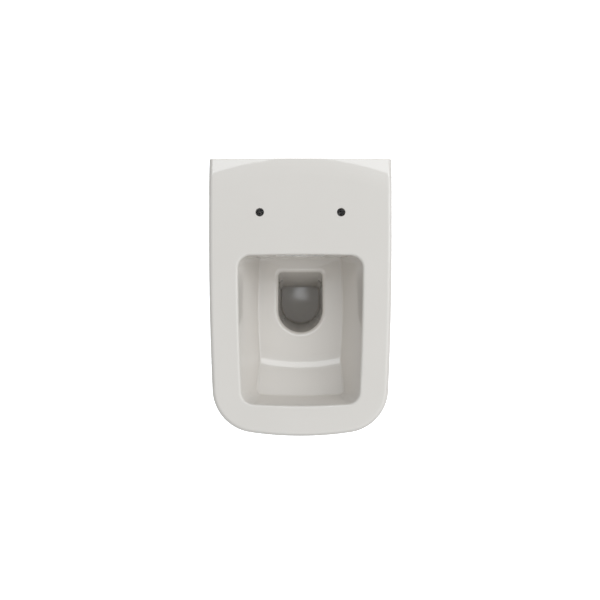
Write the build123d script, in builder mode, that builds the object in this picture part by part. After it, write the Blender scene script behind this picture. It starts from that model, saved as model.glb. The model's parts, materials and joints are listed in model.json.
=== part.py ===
"""Wall hung toilet pan with a concealed wall fixing that is worked from above.

Millimetres. The origin is midway between the two wall studs, on the finished wall.
+X is to the right of someone facing the wall, +Y points into the wall, +Z is up.
"""
from build123d import *
import math
import os

# Standard heights, measured from the stud axis
rim_height = 80
inlet_height = 35
outlet_height = -100
underside = -258

# Outline of the rim, seen from above
rim_length = 530
rim_half_width = 175
straight_side = 150
side_draw_in = 10
front_bow = 21.5
front_corner_radius = 85
top_edge_radius = 9
bottom_edge_radius = 32

# How far the outside draws in below the rim: depth, then length and half width lost
skirt_levels = [
    (42, 3, 0.5),
    (115, 24, 3.5),
    (195, 66, 11),
    (270, 118, 22),
]
skirt_bottom_loss = (165, 36)

# Ceramic thickness
skirt_wall = 11
deck_thickness = 12
bowl_wall = 11
trap_wall = 11

# Rear of the deck, which falls away towards the wall
rear_fall_start = 30
rear_fall_radius = 425
rear_fall_blend = 185
rear_fall_angle = 12.5
rear_fall_reach = 150

# Bowl opening at the rim and the same outline further down
opening_back = 184
opening_length = 287.5
opening_half_width_back = 120
opening_half_width_front = 112.5
opening_bow_back = 2
opening_bow_front = 4.5
opening_bow_side = 1.5
opening_corner_radius = 24
opening_edge_radius = 5
lower_outline_depth = 150
lower_bow_side = 9
lower_corner_radius = 6
side_draft_at_back = 14
side_draft_at_front = 19
back_wall_draft = -1
front_wall_draft = 8

# Bowl floor: a shallow cone round a vertical axis, rising to a ramp at the front
floor_axis_from_wall = 40
floor_depth_at_sump = 125
floor_fall_angle = 9
ramp_start = 400
ramp_angle = 34
ramp_blend = 73
floor_edge_radius = 5

# Sump, D-shaped in plan
sump_back = 205
sump_length = 132
sump_half_width = 46
sump_corner_radius = 9
sump_back_slope = 35
sump_front_slope = 14
sump_side_slope = 3
sump_lip_depth = 257
sump_depth = 310
sump_mouth_radius = 9
sump_floor_radius = 4
sump_rise = 30

# Trapway: distance from the wall, height, climb angle, then the bore's width, height and corner radius
trap_sections = [
    (262, -203.5, 0, 76, 53, 12),
    (236, -203.5, 0, 76, 53, 12),
    (178, -168, 52, 78, 62, 26),
    (124, -107, 34, 78, 66, 31),
    (84, -93, -6, 79, 68, 33),
    (50, -100, 0, 80, 80, 39.5),
]
horn_outer_radius = 51
horn_bore_radius = 40
horn_length = 45
socket_setback = 5

# Flush inlet and the chamber behind the bowl's back wall
inlet_bore_radius = 27.5
inlet_depth = 42
inlet_wall = 10
channel_radius = 20
chamber_half_width = 52
chamber_height = 46
chamber_back = 163
chamber_corner_radius = 10
chamber_wall = 11

# Seat fixing holes
seat_hole_spacing = 155
seat_hole_from_wall = 103
seat_hole_radius = 8
seat_hole_edge = 0.5

# Wall studs and what goes on them
stud_spacing = 180
stud_hole_radius = 6.5
bush_radius = 9
bush_flange_radius = 12
bush_flange = 1
washer_radius = 12
washer_thickness = 2.5
nut_across_flats = 18
nut_thickness = 10
nut_bore_radius = 6.1

# Hanger brackets
plate_thickness = 6
plate_half_height = 32
plate_outer_reach = 26
plate_corner_radius = 6
arm_top = -15
arm_thickness = 6
arm_length = 126
arm_outer_reach = 14
arm_corner_radius = 5
gusset_thickness = 4
gusset_length = 64
cheek_thickness = 3
cheek_height = 32
cheek_corner_radius = 8
liner_thickness = 2
liner_lip = 5
liner_front = 93
liner_length = 27

# Hanging ribs inside the ceramic
rib_back = 71
rib_foot = 12
rib_slant_height = 38
wedge_angle = 12
rib_inner_end = 62

# Clamp screw, drawn at the pitch diameter of its M8 thread, and wedge jaw
screw_radius = 3.6
collar_radius = 7
collar_thickness = 3
screw_top = 30
screw_tail = 2.5
screw_point = 0.8
socket_across_flats = 4
socket_depth = 6
circlip_radius = 7
circlip_thickness = 1.2
circlip_opening = 5
groove_radius = 2.9
jaw_width = 24
jaw_height = 22
jaw_bottom = 0
jaw_front_from_wall = 115
jaw_edge = 2

# Distributor and seals
distributor_plate_half_width = 47
distributor_plate_height = 38
distributor_plate_corner = 9
distributor_plate_thickness = 3
distributor_setback = 1
spigot_radius = 18
spigot_wall = 2.5
spigot_length = 17
spigot_shoulder = 2
spout_height = 24
seal_width = 4
inlet_seal_bore = 22.6
inlet_seal_flange_radius = 30
inlet_seal_flange = 3
inlet_seal_length = 36

# Clearances
running_clearance = 0.06
fit_clearance = 0.1
seat_gap = 0.3

arm_bottom = arm_top - arm_thickness
liner_top = arm_top + liner_thickness
distributor_front = opening_back - distributor_setback
stud_x = stud_spacing / 2
screw_x = seat_hole_spacing / 2
wedge_slope = math.tan(math.radians(wedge_angle))


def shared_edges(first, second):
    """The edges that two groups of faces have in common."""
    return [
        edge for edge in first.edges()
        if any(edge.is_same(other) for other in second.edges())
    ]


def plan_corner(vertices, end):
    """The pair of corners of an outline at its front or at its back."""
    return vertices.group_by(Axis.Y)[end]


def bottom_edges(form):
    """The edges round the lowest face, apart from the one at the wall."""
    return form.faces().sort_by(Axis.Z)[0].edges().sort_by(Axis.Y)[:-1]


def skirt_outline(depth, length, half_width, inset=0, past_wall=0):
    """The outer plan outline at one depth below the rim, moved inwards by inset."""
    length = length - inset
    half_width = half_width - inset
    corner_x = half_width - side_draw_in
    corner_y = front_bow - length
    radius = front_corner_radius - inset
    with BuildSketch(Plane.XY.offset(rim_height - depth)) as outline:
        with BuildLine():
            back = Line((-half_width, past_wall), (half_width, past_wall))
            right = Line(back @ 1, (half_width, -straight_side))
            right_front = TangentArc(right @ 1, (corner_x, corner_y), tangent=right % 1)
            ThreePointArc(right_front @ 1, (0, -length), (-corner_x, corner_y))
            mirror(right_front, about=Plane.YZ)
            mirror(right, about=Plane.YZ)
        make_face()
        fillet(plan_corner(outline.vertices(), 0), radius=radius)
    return outline.sketch


def skirt_form(inset=0, past_wall=0, top=0):
    """The tapering outside of the pan, or its hollow when inset."""
    bottom = rim_height - underside - inset
    levels = [(top, 0, 0), *skirt_levels, (bottom, *skirt_bottom_loss)]
    outlines = [
        skirt_outline(depth, rim_length - length_loss, rim_half_width - width_loss, inset, past_wall)
        for depth, length_loss, width_loss in levels
    ]
    with BuildPart() as form:
        loft(outlines)
    return form.part


def rear_fall(drop=0):
    """What is cut away above the deck near the wall, lowered by drop."""
    top = rim_height - drop
    angle = math.radians(rear_fall_angle)
    blend_x = rear_fall_radius + rear_fall_blend * math.sin(angle)
    blend_z = top - rear_fall_blend * (1 - math.cos(angle))
    end_x = rear_fall_radius + rear_fall_reach
    end_z = blend_z - (end_x - blend_x) * math.tan(angle)
    axis_y = -rear_fall_start - rear_fall_radius
    with BuildPart() as cut:
        with BuildSketch(Plane(origin=(0, axis_y, 0), x_dir=(0, 1, 0), z_dir=(1, 0, 0))):
            with BuildLine():
                blend = RadiusArc((rear_fall_radius, top), (blend_x, blend_z), rear_fall_blend)
                Line(blend @ 1, (end_x, end_z))
                Line((end_x, end_z), (end_x, top + rear_fall_reach))
                Line((end_x, top + rear_fall_reach), (rear_fall_radius, top + rear_fall_reach))
                Line((rear_fall_radius, top + rear_fall_reach), blend @ 0)
            make_face()
        revolve(axis=Axis((0, axis_y, 0), (0, 0, 1)), revolution_arc=360)
    return cut.part


def draft_shift(angle):
    """How far a wall of this draft has come in at the lower outline."""
    return lower_outline_depth * math.tan(math.radians(angle))


def opening_outline(lower, radius, side_bow, depth, grow=0):
    """The bowl's plan outline, at the rim or, with the walls' drafts taken off, lower down."""
    half_back = opening_half_width_back + grow - lower * draft_shift(side_draft_at_back)
    half_front = opening_half_width_front + grow - lower * draft_shift(side_draft_at_front)
    back = grow - opening_back - lower * draft_shift(back_wall_draft)
    front = lower * draft_shift(front_wall_draft) - grow - opening_back - opening_length
    back_corner = back - opening_bow_back
    front_corner = front + opening_bow_front
    middle = ((half_back + half_front) / 2 + side_bow, (back_corner + front_corner) / 2)
    with BuildSketch(Plane.XY.offset(rim_height - depth)) as outline:
        with BuildLine():
            ThreePointArc((-half_back, back_corner), (0, back), (half_back, back_corner))
            right = ThreePointArc((half_back, back_corner), middle, (half_front, front_corner))
            ThreePointArc((half_front, front_corner), (0, front), (-half_front, front_corner))
            mirror(right, about=Plane.YZ)
        make_face()
        fillet(outline.vertices(), radius=radius + grow)
    return outline.sketch


def floor_radius(distance):
    """Distance from the wall along the middle, as a radius about the floor's axis."""
    return distance - floor_axis_from_wall


def bowl_form(grow=0, top=0):
    """The space inside the bowl down to its floor, or its casting when grown by the wall."""
    fall = math.radians(floor_fall_angle)
    ramp = math.radians(ramp_angle)
    axis = Axis((0, -floor_axis_from_wall, 0), (0, 0, 1))
    section = Plane(origin=(0, -floor_axis_from_wall, 0), x_dir=(0, -1, 0), z_dir=(-1, 0, 0))
    base = rim_height - floor_depth_at_sump - grow
    anchor = floor_radius(sump_back + sump_length)
    bend = floor_radius(ramp_start)
    far = floor_radius(rim_length)
    bend_z = base + (bend - anchor) * math.tan(fall)
    outlines = [
        opening_outline(0, opening_corner_radius, opening_bow_side, top, grow),
        opening_outline(1, lower_corner_radius, lower_bow_side, lower_outline_depth, grow),
    ]
    with BuildPart() as form:
        loft(outlines, ruled=True)
        with BuildSketch(section) as profile:
            with BuildLine():
                path = FilletPolyline((0, base - anchor * math.tan(fall)), (bend, bend_z),
                                      (far, bend_z + (far - bend) * math.tan(ramp)), radius=ramp_blend)
                Line(path @ 1, (far, rim_height + rim_length))
                Line((far, rim_height + rim_length), (0, rim_height + rim_length))
                Line((0, rim_height + rim_length), path @ 0)
            make_face()
        revolve(axis=axis, revolution_arc=360, mode=Mode.INTERSECT)
    return form.part


def floor_edges(form):
    """Where the bowl's walls meet its floor."""
    walls = form.faces().filter_by(GeomType.BSPLINE)
    floors = form.faces().filter_by(lambda face: face.geom_type in (GeomType.CONE, GeomType.TORUS))
    return shared_edges(floors, walls)


def apron():
    """The level ledge between the bowl's back wall and the sump, built up on the sloping floor."""
    top = rim_height - floor_depth_at_sump - sump_length * math.tan(math.radians(floor_fall_angle))
    back = opening_back - opening_corner_radius
    with BuildPart() as ledge:
        with BuildSketch(Plane.XY.offset(top)):
            with Locations((0, -(sump_back + back) / 2)):
                Rectangle(2 * opening_half_width_back, sump_back - back)
        extrude(amount=-sump_length)
    return ledge.part


def sump_outline(height, half_width, back, front, grow=0):
    """A D-shaped outline with a straight back, at one height."""
    half_width = half_width + grow
    back = grow - back
    front = -front - grow
    centre = front + half_width
    with BuildSketch(Plane.XY.offset(height)) as outline:
        with BuildLine():
            Line((half_width, centre), (half_width, back))
            Line((half_width, back), (-half_width, back))
            Line((-half_width, back), (-half_width, centre))
            ThreePointArc((-half_width, centre), (0, front), (half_width, centre))
        make_face()
        fillet(plan_corner(outline.vertices(), -1), radius=sump_corner_radius + grow)
    return outline.sketch


def sump_form(grow=0):
    """The well at the back of the bowl, tapering down to its flat bottom."""
    mouth = rim_height - floor_depth_at_sump
    bottom = rim_height - sump_depth
    lip = rim_height - sump_lip_depth
    front = sump_back + sump_length
    outlines = []
    for height in (mouth + sump_rise, lip, bottom - grow):
        share = (mouth - height) / (mouth - bottom)
        back_share = min((mouth - height) / (mouth - lip), 1)
        outlines.append(sump_outline(height, sump_half_width - share * sump_side_slope,
                                     sump_back + back_share * sump_back_slope,
                                     front - share * sump_front_slope, grow))
    with BuildPart() as form:
        loft(outlines, ruled=True)
        if not grow:
            fillet(form.faces().sort_by(Axis.Z)[0].edges(), radius=sump_floor_radius)
    return form.part


def trapway_form(grow=0):
    """The waste passage: under the lip at the back of the sump, over the weir and out to the horn."""
    outlines = []
    for distance, height, climb, width, tall, corner in trap_sections:
        angle = math.radians(climb)
        station = Plane(origin=(0, -distance, height), x_dir=(1, 0, 0),
                        z_dir=(0, math.cos(angle), math.sin(angle)))
        with BuildSketch(station) as outline:
            RectangleRounded(width + 2 * grow, tall + 2 * grow, corner + grow)
        outlines.append(outline.sketch)
    with BuildPart() as form:
        loft(outlines[:2], ruled=True)
        loft(outlines[1:])
    return form.part


def rounded_block(half_width, height, near, far, corner, grow=0):
    """A block across the pan at the inlet's height, between two distances from the wall."""
    with BuildPart() as block:
        with BuildSketch(Plane(origin=(0, -near, inlet_height), x_dir=(1, 0, 0), z_dir=(0, -1, 0))):
            RectangleRounded(2 * (half_width + grow), height + 2 * grow, corner + grow)
        extrude(amount=far - near)
    return block.part


def level_cylinder(height, radius, near, far):
    """A cylinder on the middle plane, square to the wall, between two distances from it."""
    with BuildPart() as cylinder:
        with BuildSketch(Plane(origin=(0, -near, height), x_dir=(1, 0, 0), z_dir=(0, -1, 0))):
            Circle(radius)
        extrude(amount=far - near)
    return cylinder.part


def hanging_rib(side):
    """The ceramic web that rests on a bracket arm, with a slanted front for the wedge jaw."""
    foot_front = -rib_back - rib_foot
    top_front = foot_front - rib_slant_height * wedge_slope
    top = rim_height - deck_thickness / 2
    with BuildPart() as rib:
        with BuildSketch(Plane.YZ.offset(side * rib_inner_end)):
            with BuildLine():
                Polyline((-rib_back, liner_top), (foot_front, liner_top),
                         (top_front, liner_top + rib_slant_height), (top_front, top),
                         (-rib_back, top), close=True)
            make_face()
        extrude(amount=side * (rim_half_width - skirt_wall / 2 - rib_inner_end))
    return rib.part


with BuildPart() as hollow:
    add(skirt_form(skirt_wall, past_wall=skirt_wall, top=deck_thickness))
    fillet(bottom_edges(hollow), radius=bottom_edge_radius - skirt_wall)
    add(rear_fall(deck_thickness), mode=Mode.SUBTRACT)

with BuildPart() as bowl_space:
    add(bowl_form())
    fillet(floor_edges(bowl_space.part), radius=floor_edge_radius)
    add(sump_form())
    bowl_floor = bowl_space.faces().filter_by(GeomType.CONE).sort_by(Axis.Z)[0]
    fillet(bowl_floor.inner_wires()[0].edges(), radius=sump_mouth_radius)
    add(apron(), mode=Mode.SUBTRACT)

with BuildPart() as pan_body:
    add(skirt_form(past_wall=skirt_wall))
    fillet(bottom_edges(pan_body), radius=bottom_edge_radius)
    split(bisect_by=Plane.XZ, keep=Keep.TOP)
    add(rear_fall(), mode=Mode.SUBTRACT)
    top_faces = pan_body.faces().filter_by(
        lambda face: face.geom_type in (GeomType.PLANE, GeomType.CONE, GeomType.TORUS)
        and face.center().Z > 0)
    side_faces = pan_body.faces().filter_by(
        lambda face: face.geom_type == GeomType.BSPLINE and face.center().Y < 0)
    fillet(shared_edges(top_faces, side_faces), radius=top_edge_radius)
    add(hollow.part, mode=Mode.SUBTRACT)
    add(bowl_form(bowl_wall, top=deck_thickness / 2))
    add(sump_form(bowl_wall))
    add(trapway_form(trap_wall))
    add(level_cylinder(outlet_height, horn_outer_radius, socket_setback, socket_setback + horn_length))
    add(level_cylinder(inlet_height, inlet_bore_radius + inlet_wall, socket_setback, chamber_back))
    add(rounded_block(chamber_half_width, chamber_height, chamber_back - chamber_wall,
                      opening_back + opening_corner_radius, chamber_corner_radius, chamber_wall))
    for side in (-1, 1):
        add(hanging_rib(side))
    add(bowl_space.part, mode=Mode.SUBTRACT)
    add(trapway_form(), mode=Mode.SUBTRACT)
    add(level_cylinder(outlet_height, horn_bore_radius, 0, socket_setback + horn_length),
        mode=Mode.SUBTRACT)
    add(level_cylinder(inlet_height, inlet_bore_radius, 0, socket_setback + inlet_depth),
        mode=Mode.SUBTRACT)
    add(level_cylinder(inlet_height, channel_radius, 0, chamber_back + chamber_wall), mode=Mode.SUBTRACT)
    add(rounded_block(chamber_half_width, chamber_height, chamber_back,
                      opening_back + opening_corner_radius, chamber_corner_radius), mode=Mode.SUBTRACT)
    with Locations((-seat_hole_spacing / 2, -seat_hole_from_wall, rim_height),
                   (seat_hole_spacing / 2, -seat_hole_from_wall, rim_height)):
        Hole(seat_hole_radius, depth=2 * deck_thickness)
    deck = pan_body.faces().filter_by(Axis.Z).sort_by(Axis.Z)[-1]
    opening = deck.inner_wires().sort_by(SortBy.LENGTH)[-1]
    fillet(opening.edges(), radius=opening_edge_radius)
    deck = pan_body.faces().filter_by(Axis.Z).sort_by(Axis.Z)[-1]
    for hole in deck.inner_wires().sort_by(SortBy.LENGTH)[:-1]:
        chamfer(hole.edges(), length=seat_hole_edge)


def upright_axis(side):
    """The axis of one clamp screw."""
    return Axis((side * screw_x, -seat_hole_from_wall, 0), (0, 0, 1))


def turned(side, outline):
    """A solid turned from an outline of radius and height round one clamp screw's axis."""
    station = Plane(origin=(side * screw_x, -seat_hole_from_wall, 0), x_dir=(1, 0, 0), z_dir=(0, -1, 0))
    with BuildPart() as solid:
        with BuildSketch(station):
            with BuildLine():
                Polyline(*outline, close=True)
            make_face()
        revolve(axis=upright_axis(side))
    return solid.part


def wall_plane(side, distance=0):
    """A plane on one stud's axis, facing away from the wall, at a distance from it."""
    return Plane(origin=(side * stud_x, -distance, 0), x_dir=(1, 0, 0), z_dir=(0, -1, 0))


def hanger_bracket(side):
    """The wall plate, the arm with its cheeks and the two gussets under it."""
    inner = screw_x - jaw_width / 2 - seat_gap - cheek_thickness
    outer = stud_x + arm_outer_reach
    plate_outer = stud_x + plate_outer_reach
    cheek_offset = jaw_width / 2 + seat_gap
    cheek_front = arm_length - arm_corner_radius
    cheek_back = liner_front + seat_gap
    with BuildPart() as bracket:
        with BuildSketch(Plane(origin=(side * (inner + plate_outer) / 2, 0, 0), x_dir=(1, 0, 0),
                               z_dir=(0, -1, 0))):
            RectangleRounded(plate_outer - inner, 2 * plate_half_height, plate_corner_radius)
        extrude(amount=plate_thickness)
        with BuildSketch(Plane.XY.offset(arm_bottom)):
            with Locations((side * (inner + outer) / 2, -arm_length / 2)):
                Rectangle(outer - inner, arm_length)
        extrude(amount=arm_thickness)
        fillet(bracket.edges().filter_by(Axis.Z).group_by(Axis.Y)[0], radius=arm_corner_radius)
        for near in (inner, outer - gusset_thickness):
            with BuildSketch(Plane.YZ.offset(side * near)):
                with BuildLine():
                    Polyline((-plate_thickness, arm_bottom), (-gusset_length, arm_bottom),
                             (-plate_thickness, plate_corner_radius - plate_half_height), close=True)
                make_face()
            extrude(amount=side * gusset_thickness)
        for near in (screw_x - cheek_offset - cheek_thickness, screw_x + cheek_offset):
            with BuildSketch(Plane.YZ.offset(side * near)) as cheek:
                with Locations((-(cheek_front + cheek_back) / 2, arm_top + cheek_height / 2)):
                    Rectangle(cheek_front - cheek_back, cheek_height)
                fillet(cheek.vertices().group_by(Axis.Z)[-1], radius=cheek_corner_radius)
            extrude(amount=side * cheek_thickness)
        with BuildSketch(wall_plane(side)):
            Circle(bush_radius + fit_clearance)
        extrude(amount=plate_thickness, mode=Mode.SUBTRACT)
        with BuildSketch(Plane(origin=(side * screw_x, -seat_hole_from_wall, arm_bottom))):
            Circle(screw_radius + running_clearance)
        extrude(amount=arm_thickness, mode=Mode.SUBTRACT)
    return bracket.part


def bracket_liner(side):
    """A plastic saddle over the arm, under the ceramic rib."""
    inner = screw_x - jaw_width / 2 - seat_gap - cheek_thickness
    outer = stud_x + arm_outer_reach
    width = outer - inner + 2 * fit_clearance
    with BuildPart() as liner:
        with BuildSketch(Plane(origin=(side * (inner + outer) / 2, liner_length - liner_front, 0),
                               x_dir=(1, 0, 0), z_dir=(0, -1, 0))):
            with Locations((0, liner_top - (liner_thickness + liner_lip) / 2)):
                Rectangle(width + 2 * liner_thickness, liner_thickness + liner_lip)
            with Locations((0, arm_top - liner_lip / 2)):
                Rectangle(width, liner_lip, mode=Mode.SUBTRACT)
        extrude(amount=liner_length)
        fillet(liner.edges().filter_by(Axis.Y).group_by(Axis.Z)[-1], radius=liner_thickness / 2)
    return liner.part


def clamp_screw(side):
    """A captive screw: point, circlip groove, shank through the arm, collar, thread and socket."""
    groove_top = arm_bottom - fit_clearance
    groove_foot = groove_top - circlip_thickness - fit_clearance
    tail = groove_foot - screw_tail
    collar_foot = arm_top + running_clearance
    outline = [
        (0, tail), (screw_radius - screw_point, tail), (screw_radius, tail + screw_point),
        (screw_radius, groove_foot), (groove_radius, groove_foot), (groove_radius, groove_top),
        (screw_radius, groove_top), (screw_radius, collar_foot), (collar_radius, collar_foot),
        (collar_radius, collar_foot + collar_thickness), (screw_radius, collar_foot + collar_thickness),
        (screw_radius, screw_top - screw_point), (screw_radius - screw_point, screw_top),
        (0, screw_top),
    ]
    with BuildPart() as screw:
        add(turned(side, outline))
        with BuildSketch(Plane(origin=(side * screw_x, -seat_hole_from_wall, screw_top))):
            RegularPolygon(socket_across_flats / 2, 6, major_radius=False)
        extrude(amount=-socket_depth, mode=Mode.SUBTRACT)
    return screw.part


def screw_circlip(side):
    """A retaining ring in the screw's groove, open towards the front."""
    with BuildPart() as circlip:
        with BuildSketch(Plane(origin=(side * screw_x, -seat_hole_from_wall,
                                       arm_bottom - fit_clearance - circlip_thickness))):
            Circle(circlip_radius)
            Circle(groove_radius + running_clearance, mode=Mode.SUBTRACT)
            with Locations((0, -circlip_radius)):
                Rectangle(circlip_opening, 2 * circlip_radius, mode=Mode.SUBTRACT)
        extrude(amount=circlip_thickness)
    return circlip.part


def clamp_jaw(side):
    """The wedge nut: its slanted back lies on the ceramic rib and draws the pan to the wall."""
    gap = seat_gap / math.cos(math.radians(wedge_angle))
    face_at_foot = -rib_back - rib_foot - (jaw_bottom - liner_top) * wedge_slope - gap
    face_at_head = face_at_foot - jaw_height * wedge_slope
    with BuildPart() as jaw:
        with BuildSketch(Plane.YZ.offset(side * screw_x)):
            with BuildLine():
                Polyline((-jaw_front_from_wall, jaw_bottom), (face_at_foot, jaw_bottom),
                         (face_at_head, jaw_bottom + jaw_height),
                         (-jaw_front_from_wall, jaw_bottom + jaw_height), close=True)
            make_face()
        extrude(amount=jaw_width / 2, both=True)
        chamfer(jaw.edges().filter_by(Axis.Z).group_by(Axis.Y)[0], length=jaw_edge)
        with BuildSketch(Plane(origin=(side * screw_x, -seat_hole_from_wall, jaw_bottom))):
            Circle(screw_radius + running_clearance)
        extrude(amount=jaw_height, mode=Mode.SUBTRACT)
    return jaw.part


def stud_bush(side):
    """A flanged plastic bush between the wall stud and the bracket's plate."""
    with BuildPart() as bush:
        with BuildSketch(wall_plane(side)):
            Circle(bush_radius)
        extrude(amount=plate_thickness)
        with BuildSketch(wall_plane(side, plate_thickness)):
            Circle(bush_flange_radius)
        extrude(amount=bush_flange)
        with BuildSketch(wall_plane(side)):
            Circle(stud_hole_radius)
        extrude(amount=plate_thickness + bush_flange, mode=Mode.SUBTRACT)
    return bush.part


def stud_washer(side):
    """A flat washer on the wall stud."""
    with BuildPart() as washer:
        with BuildSketch(wall_plane(side, plate_thickness + bush_flange)):
            Circle(washer_radius)
            Circle(stud_hole_radius, mode=Mode.SUBTRACT)
        extrude(amount=washer_thickness)
    return washer.part


def stud_nut(side):
    """A hexagon nut with its corners turned off at the outer end."""
    foot = plate_thickness + bush_flange + washer_thickness
    corner_radius = nut_across_flats / 2 / math.cos(math.radians(30))
    corner_height = corner_radius - nut_across_flats / 2
    with BuildPart() as blank:
        with BuildSketch(wall_plane(side, foot)):
            Circle(corner_radius)
        extrude(amount=nut_thickness)
        chamfer(blank.edges().sort_by(Axis.Y)[0], length=corner_height)
    with BuildPart() as nut:
        with BuildSketch(wall_plane(side, foot)):
            RegularPolygon(nut_across_flats / 2, 6, major_radius=False)
        extrude(amount=nut_thickness)
        add(blank.part, mode=Mode.INTERSECT)
        with BuildSketch(wall_plane(side, foot)):
            Circle(nut_bore_radius)
        extrude(amount=nut_thickness, mode=Mode.SUBTRACT)
    return nut.part


with BuildPart() as flush_distributor:
    plate_back = distributor_front - distributor_plate_thickness
    add(rounded_block(distributor_plate_half_width, distributor_plate_height, plate_back,
                      distributor_front, distributor_plate_corner))
    add(level_cylinder(inlet_height, spigot_radius, chamber_back - spigot_length, plate_back))
    add(level_cylinder(inlet_height, channel_radius - fit_clearance, chamber_back - spigot_shoulder,
                       chamber_back))
    add(level_cylinder(inlet_height, spigot_radius - spigot_wall, chamber_back - spigot_length,
                       plate_back), mode=Mode.SUBTRACT)
    with BuildSketch(Plane.YZ.offset(-distributor_plate_half_width)):
        with Locations((-(chamber_back + plate_back) / 2, inlet_height)):
            Rectangle(plate_back - chamber_back, spout_height)
    extrude(amount=2 * distributor_plate_half_width, mode=Mode.SUBTRACT)

with BuildPart() as distributor_seal:
    seal_far = chamber_back - spigot_shoulder - fit_clearance
    add(level_cylinder(inlet_height, channel_radius - fit_clearance, seal_far - seal_width, seal_far))
    add(level_cylinder(inlet_height, spigot_radius + running_clearance, seal_far - seal_width, seal_far),
        mode=Mode.SUBTRACT)

with BuildPart() as inlet_seal:
    add(level_cylinder(inlet_height, inlet_bore_radius - fit_clearance, socket_setback,
                       socket_setback + inlet_seal_length))
    add(level_cylinder(inlet_height, inlet_seal_flange_radius, socket_setback - inlet_seal_flange,
                       socket_setback))
    add(level_cylinder(inlet_height, inlet_seal_bore, socket_setback - inlet_seal_flange,
                       socket_setback + inlet_seal_length), mode=Mode.SUBTRACT)

pieces = {
    "pan_body": pan_body.part,
    "flush_distributor": flush_distributor.part,
    "distributor_seal": distributor_seal.part,
    "inlet_seal": inlet_seal.part,
}
for side, hand in ((-1, "left"), (1, "right")):
    pieces[hand + "_hanger_bracket"] = hanger_bracket(side)
    pieces[hand + "_bracket_liner"] = bracket_liner(side)
    pieces[hand + "_stud_bush"] = stud_bush(side)
    pieces[hand + "_stud_washer"] = stud_washer(side)
    pieces[hand + "_stud_nut"] = stud_nut(side)
    pieces[hand + "_clamp_screw"] = clamp_screw(side)
    pieces[hand + "_screw_circlip"] = screw_circlip(side)
    pieces[hand + "_clamp_jaw"] = clamp_jaw(side)

os.makedirs("parts", exist_ok=True)
for name, piece in pieces.items():
    piece.label = name
    export_step(piece, "parts/" + name + ".step")
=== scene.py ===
"""Looks of a wall hung toilet pan: glazed casting, plated fixings, seals, and a pale studio.

Metres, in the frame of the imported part: the wall is the plane y = 0, the pan stands out
towards -Y, +Z is up, and the origin is midway between the two wall studs.
"""
import bpy
import bmesh
import json
import math
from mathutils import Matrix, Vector


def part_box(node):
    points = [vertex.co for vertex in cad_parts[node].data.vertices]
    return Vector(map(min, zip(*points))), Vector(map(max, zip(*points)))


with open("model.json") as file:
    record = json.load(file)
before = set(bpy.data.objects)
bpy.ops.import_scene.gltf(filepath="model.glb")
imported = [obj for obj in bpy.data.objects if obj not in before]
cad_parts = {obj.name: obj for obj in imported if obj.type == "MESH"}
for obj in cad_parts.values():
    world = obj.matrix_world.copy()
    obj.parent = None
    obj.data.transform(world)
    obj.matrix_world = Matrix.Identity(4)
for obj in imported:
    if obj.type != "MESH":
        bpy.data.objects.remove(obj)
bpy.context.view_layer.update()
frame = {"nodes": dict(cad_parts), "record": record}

# Places taken from the frame
pan_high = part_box("pan_body")[1]
rim_z = pan_high.z
wall_y = pan_high.y

# The view: straight down on the middle of the rim
camera_lens = 50.0
sensor_width = 36.0
view_width_at_rim = 1.141
camera_height = view_width_at_rim * camera_lens / sensor_width
view_centre_y = -0.270
view_centre_x = -0.0008
camera_far_clip = 50.0

# The floor, which glows to the camera alone
floor_z = -0.320
floor_half = 3.0
floor_color = (0.86, 0.86, 0.86, 1)
floor_roughness = 0.7
floor_glow = 0.9

# The sky: how high a direction points, from 0 at the horizon to 1 overhead, and the strength there.
# The zenith is dim inside a bright ring, and the lean makes the right side brighter.
sky_rings = [
    (0.0, 0.10), (0.2, 0.25), (0.5, 0.80), (0.7, 1.32), (0.85, 1.36), (0.95, 0.95), (1.0, 0.55),
]
sky_full_strength = 2.0
sky_lean = (0.45, 0.0, 0.0)

# The lamps, and what they face
lamp_color = (0.962, 1.0, 1.040)
back_softbox_at = (0.0, 1.37, 1.87)
back_softbox_size = (3.2, 0.82)
back_softbox_power = 27.0
bowl_front = (0.0, -0.404, -0.03)
right_softbox_at = (2.2, 0.6, 1.6)
right_softbox_size = (1.5, 1.5)
right_softbox_power = 14.5
pan_middle = (0.0, view_centre_y, 0.0)
overhead_square_at = (0.0, -0.228, 2.6)
overhead_square_side = 0.07
overhead_square_power = 0.06
below_square = (overhead_square_at[0], overhead_square_at[1], 0.0)

# Where the clamp screws stand, and their threads
screw_low, screw_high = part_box("right_clamp_screw")
screw_x = (screw_low.x + screw_high.x) / 2
screw_y = (screw_low.y + screw_high.y) / 2
thread_pitch = 0.00125
thread_length = 0.0415
thread_foot = screw_high.z - thread_length
thread_run_in = 0.0006
thread_relief = 0.0011

# Distances from the wall at which the glaze begins to give way to bare biscuit, and has gone
glaze_thins = 0.0012
glaze_gone = 0.0004
biscuit_dullness = 0.75

# Spacing of the turned grooves in the seals
groove_spacing = 0.0024

# The range that nearly all values of a noise texture lie in
noise_low = 0.3
noise_high = 0.7

# The two tones that the clouds of each finish run between
tones = {
    "glaze": ((0.645, 0.607, 0.558), (0.635, 0.598, 0.549)),
    "biscuit": ((0.70, 0.66, 0.58), (0.62, 0.58, 0.50)),
    "white_plastic": ((0.82, 0.82, 0.80), (0.78, 0.78, 0.765)),
    "black_rubber": ((0.026, 0.026, 0.028), (0.045, 0.044, 0.043)),
    "grey_plastic": ((0.30, 0.31, 0.32), (0.26, 0.27, 0.28)),
    "plated_steel": ((0.62, 0.62, 0.60), (0.55, 0.57, 0.59)),
    "screw_steel": ((0.55, 0.55, 0.54), (0.47, 0.48, 0.49)),
    "cast_zinc": ((0.58, 0.59, 0.60), (0.44, 0.45, 0.47)),
}


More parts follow.
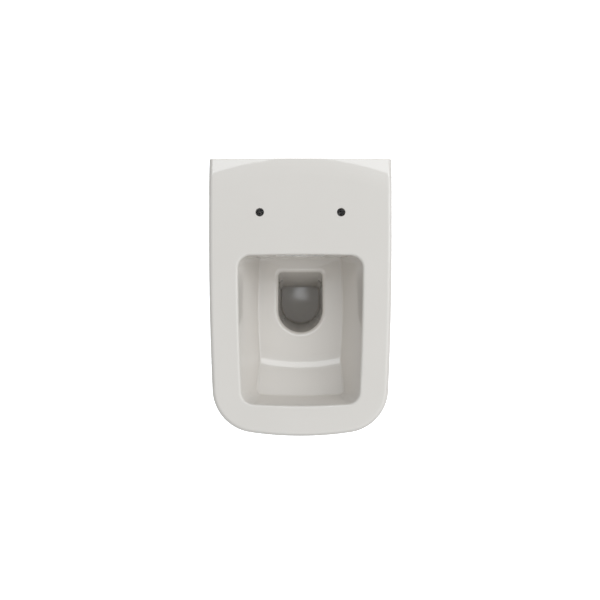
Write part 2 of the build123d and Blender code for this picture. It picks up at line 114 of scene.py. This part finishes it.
def add_camera():
    """The photograph's camera: above the rim, looking straight down, wall side at the top."""
    data = bpy.data.cameras.new("view_camera")
    data.lens = camera_lens
    data.sensor_width = sensor_width
    data.clip_end = camera_far_clip
    camera = bpy.data.objects.new("view_camera", data)
    camera.location = (view_centre_x, view_centre_y, rim_z + camera_height)
    bpy.context.scene.collection.objects.link(camera)
    bpy.context.scene.camera = camera


def add_panel(name, location, target, size, power):
    """A rectangular lamp that faces its target."""
    data = bpy.data.lights.new(name, "AREA")
    data.shape = "RECTANGLE"
    data.size, data.size_y = size
    data.energy = power
    data.color = lamp_color
    lamp = bpy.data.objects.new(name, data)
    lamp.location = location
    direction = Vector(target) - Vector(location)
    lamp.rotation_euler = direction.to_track_quat("-Z", "Y").to_euler()
    bpy.context.scene.collection.objects.link(lamp)
    return lamp


def set_sky():
    """Soft light from all round, in rings round the vertical, leaning to one side."""
    world = bpy.data.worlds.new("studio_sky")
    world.use_nodes = True
    nodes, links = world.node_tree.nodes, world.node_tree.links
    nodes.clear()
    coordinate = nodes.new("ShaderNodeTexCoord")
    split = nodes.new("ShaderNodeSeparateXYZ")
    links.new(coordinate.outputs["Generated"], split.inputs[0])
    # A curve holds values up to 1, so it gets shares of the full strength
    rings = nodes.new("ShaderNodeFloatCurve")
    curve = rings.mapping.curves[0]
    for point, (height, strength) in zip(curve.points, (sky_rings[0], sky_rings[-1])):
        point.location = (height, strength / sky_full_strength)
    for height, strength in sky_rings[1:-1]:
        curve.points.new(height, strength / sky_full_strength)
    rings.mapping.update()
    links.new(split.outputs["Z"], rings.inputs["Value"])
    lean = nodes.new("ShaderNodeVectorMath")
    lean.operation = "DOT_PRODUCT"
    lean.inputs[1].default_value = sky_lean
    links.new(coordinate.outputs["Generated"], lean.inputs[0])
    share = nodes.new("ShaderNodeMath")
    share.operation = "MULTIPLY_ADD"
    links.new(lean.outputs["Value"], share.inputs[0])
    links.new(rings.outputs["Value"], share.inputs[1])
    links.new(rings.outputs["Value"], share.inputs[2])
    total = nodes.new("ShaderNodeMath")
    total.operation = "MULTIPLY"
    total.inputs[1].default_value = sky_full_strength
    links.new(share.outputs[0], total.inputs[0])
    background = nodes.new("ShaderNodeBackground")
    background.inputs["Color"].default_value = (*lamp_color, 1)
    links.new(total.outputs[0], background.inputs["Strength"])
    output = nodes.new("ShaderNodeOutputWorld")
    links.new(background.outputs["Background"], output.inputs["Surface"])
    bpy.context.scene.world = world


def add_floor():
    """A plain, nearly white floor under the pan."""
    shape = bmesh.new()
    bmesh.ops.create_grid(shape, x_segments=1, y_segments=1, size=floor_half)
    bmesh.ops.translate(shape, verts=shape.verts, vec=(0, view_centre_y, floor_z))
    mesh = bpy.data.meshes.new("studio_floor")
    shape.to_mesh(mesh)
    shape.free()
    floor = bpy.data.objects.new("studio_floor", mesh)
    bpy.context.scene.collection.objects.link(floor)
    material = bpy.data.materials.new("floor_paint")
    material.use_nodes = True
    nodes, links = material.node_tree.nodes, material.node_tree.links
    shader = nodes["Principled BSDF"]
    shader.inputs["Base Color"].default_value = floor_color
    shader.inputs["Roughness"].default_value = floor_roughness
    shader.inputs["Emission Color"].default_value = (1, 1, 1, 1)
    path = nodes.new("ShaderNodeLightPath")
    glow = nodes.new("ShaderNodeMath")
    glow.operation = "MULTIPLY"
    glow.inputs[1].default_value = floor_glow
    links.new(path.outputs["Is Camera Ray"], glow.inputs[0])
    links.new(glow.outputs[0], shader.inputs["Emission Strength"])
    mesh.materials.append(material)


class Finish:
    """A principled material under construction, with the pieces that its surface is built from."""

    def __init__(self, name, **constants):
        self.material = bpy.data.materials.new(name)
        self.material.use_nodes = True
        tree = self.material.node_tree
        self.nodes, self.links = tree.nodes, tree.links
        self.shader = self.nodes["Principled BSDF"]
        for socket, value in constants.items():
            self.shader.inputs[socket.replace("_", " ")].default_value = value
        self.place = self.nodes.new("ShaderNodeTexCoord").outputs["Object"]
        self.height = None

    def math(self, operation, *values):
        """One arithmetic step on sockets and numbers."""
        node = self.nodes.new("ShaderNodeMath")
        node.operation = operation
        for socket, value in zip(node.inputs, values):
            self.feed(socket, value)
        return node.outputs[0]

    def feed(self, socket, value):
        """A socket's value, as a number, a colour or what another node gives."""
        if isinstance(value, bpy.types.NodeSocket):
            self.links.new(value, socket)
        else:
            socket.default_value = value

    def axis(self, letter, start=0.0):
        """One coordinate in metres, counted from start."""
        split = self.nodes.new("ShaderNodeSeparateXYZ")
        self.links.new(self.place, split.inputs[0])
        return self.math("SUBTRACT", split.outputs[letter], start)

    def noise(self, size, low=0.0, high=1.0, detail=3.0, stretch=(1, 1, 1)):
        """Cloudy variation whose features are about size metres across."""
        mapping = self.nodes.new("ShaderNodeMapping")
        mapping.inputs["Scale"].default_value = [part / size for part in stretch]
        self.links.new(self.place, mapping.inputs["Vector"])
        cloud = self.nodes.new("ShaderNodeTexNoise")
        cloud.inputs["Scale"].default_value = 1.0
        cloud.inputs["Detail"].default_value = detail
        self.links.new(mapping.outputs["Vector"], cloud.inputs["Vector"])
        return self.spread(cloud.outputs["Fac"], noise_low, noise_high, low, high)

    def spread(self, value, start, end, low=0.0, high=1.0):
        """A value from start to end taken to low and high, and held there outside."""
        node = self.nodes.new("ShaderNodeMapRange")
        for name, number in (("From Min", start), ("From Max", end), ("To Min", low), ("To Max", high)):
            node.inputs[name].default_value = number
        self.links.new(value, node.inputs["Value"])
        return node.outputs["Result"]

    def mix(self, factor, first, second):
        """A colour between two others."""
        node = self.nodes.new("ShaderNodeMix")
        node.data_type = "RGBA"
        # In this node the two colours are inputs 6 and 7, and the mixed colour is output 2
        self.feed(node.inputs[0], factor)
        for socket, value in ((node.inputs[6], first), (node.inputs[7], second)):
            self.feed(socket, value if isinstance(value, bpy.types.NodeSocket) else (*value, 1))
        return node.outputs[2]

    def color(self, value):
        """What the base colour is taken from."""
        self.feed(self.shader.inputs["Base Color"], value)

    def roughness(self, value):
        """What the roughness is taken from."""
        self.feed(self.shader.inputs["Roughness"], value)

    def relief(self, value, depth):
        """Adds a relief of this depth in metres, on top of the reliefs before it."""
        step = self.math("MULTIPLY", value, depth)
        self.height = step if self.height is None else self.math("ADD", self.height, step)

    def done(self):
        """The finished material."""
        if self.height is not None:
            bump = self.nodes.new("ShaderNodeBump")
            bump.inputs["Distance"].default_value = 1.0
            self.links.new(self.height, bump.inputs["Height"])
            self.links.new(bump.outputs["Normal"], self.shader.inputs["Normal"])
        return self.material


def glaze_finish():
    """Warm white fired glaze, bare biscuit where the rim of the hollow was ground flat for the wall."""
    finish = Finish("glaze", IOR=1.5)
    bare = finish.spread(finish.axis("Y"), wall_y - glaze_thins, wall_y - glaze_gone)
    tone = finish.mix(finish.noise(0.12), *tones["glaze"])
    biscuit = finish.mix(finish.noise(0.0015), *tones["biscuit"])
    finish.color(finish.mix(bare, tone, biscuit))
    shine = finish.noise(0.03, 0.045, 0.07)
    finish.roughness(finish.math("ADD", shine, finish.math("MULTIPLY", bare, biscuit_dullness)))
    finish.relief(finish.noise(0.035, detail=1.0), 0.00002)
    finish.relief(finish.noise(0.006, detail=1.0), 0.0000015)
    finish.relief(finish.math("MULTIPLY", bare, finish.noise(0.0008)), 0.0001)
    return finish.done()


def white_plastic_finish():
    """Moulded white plastic with a faint flow pattern."""
    finish = Finish("white_plastic", IOR=1.46)
    finish.color(finish.mix(finish.noise(0.02), *tones["white_plastic"]))
    finish.roughness(finish.noise(0.006, 0.24, 0.36))
    finish.relief(finish.noise(0.0012), 0.00002)
    return finish.done()


def rubber_finish():
    """Moulded black rubber: dull, a little dusty, with turning grooves from the mould."""
    finish = Finish("black_rubber", IOR=1.52, Specular_IOR_Level=0.35)
    finish.color(finish.mix(finish.noise(0.008), *tones["black_rubber"]))
    finish.roughness(finish.noise(0.003, 0.55, 0.75))
    groove = finish.math("SINE", finish.math("MULTIPLY", finish.axis("Y"), 2 * math.pi / groove_spacing))
    finish.relief(groove, 0.0001)
    finish.relief(finish.noise(0.0006), 0.00004)
    return finish.done()


def grey_plastic_finish():
    """Grey moulded plastic with a spark eroded grain."""
    finish = Finish("grey_plastic", IOR=1.5)
    finish.color(finish.mix(finish.noise(0.010), *tones["grey_plastic"]))
    finish.roughness(finish.noise(0.004, 0.42, 0.58))
    finish.relief(finish.noise(0.0005), 0.00004)
    return finish.done()


def plated_steel_finish():
    """Bright zinc plating on rolled steel: cloudy, drawn out along the sheet."""
    finish = Finish("plated_steel", Metallic=1.0)
    cloud = finish.noise(0.012, detail=5.0)
    finish.color(finish.mix(cloud, *tones["plated_steel"]))
    finish.roughness(finish.noise(0.004, 0.26, 0.42, stretch=(1, 0.12, 1)))
    finish.relief(finish.noise(0.0010, stretch=(1, 0.1, 1)), 0.00002)
    return finish.done()


def helix(finish, across, height):
    """A thread's profile: one ridge per pitch, wound round the axis that the two coordinates cross."""
    turn = finish.math("DIVIDE", finish.math("ARCTAN2", *across), 2 * math.pi)
    phase = finish.math("SUBTRACT", finish.math("DIVIDE", height, thread_pitch), turn)
    return finish.math("PINGPONG", phase, 0.5)


def screw_steel_finish():
    """Plated, turned steel, threaded above the collar."""
    finish = Finish("screw_steel", Metallic=1.0)
    finish.color(finish.mix(finish.noise(0.004), *tones["screw_steel"]))
    finish.roughness(finish.noise(0.002, 0.24, 0.38))
    height = finish.axis("Z", thread_foot)
    right = finish.math("ABSOLUTE", finish.axis("X"))
    across = (finish.axis("Y", screw_y), finish.math("SUBTRACT", right, screw_x))
    threaded = finish.spread(height, 0.0, thread_run_in)
    finish.relief(finish.math("MULTIPLY", threaded, helix(finish, across, height)), thread_relief)
    finish.relief(finish.noise(0.0008), 0.00001)
    return finish.done()


def cast_zinc_finish():
    """Die cast and tumbled: matt, softly mottled."""
    finish = Finish("cast_zinc", Metallic=1.0)
    finish.color(finish.mix(finish.noise(0.006, detail=5.0), *tones["cast_zinc"]))
    finish.roughness(finish.noise(0.002, 0.40, 0.58))
    finish.relief(finish.noise(0.0009), 0.00008)
    return finish.done()


bpy.context.scene.view_settings.view_transform = "Standard"
add_camera()
set_sky()
add_floor()
back_softbox = add_panel("back_softbox", back_softbox_at, bowl_front, back_softbox_size,
                         back_softbox_power)
# It shows in reflections only, and adds no light of its own to the pan
back_softbox.visible_diffuse = False
add_panel("right_softbox", right_softbox_at, pan_middle, right_softbox_size, right_softbox_power)
add_panel("overhead_square", overhead_square_at, below_square,
          (overhead_square_side, overhead_square_side), overhead_square_power)

finishes = {
    "glaze": glaze_finish(),
    "white_plastic": white_plastic_finish(),
    "black_rubber": rubber_finish(),
    "grey_plastic": grey_plastic_finish(),
    "plated_steel": plated_steel_finish(),
    "screw_steel": screw_steel_finish(),
    "cast_zinc": cast_zinc_finish(),
}
for subpart in frame["record"]["subparts"]:
    node = frame["nodes"][subpart["node"]]
    node.data.materials.clear()
    node.data.materials.append(finishes[subpart["material_slot"]])
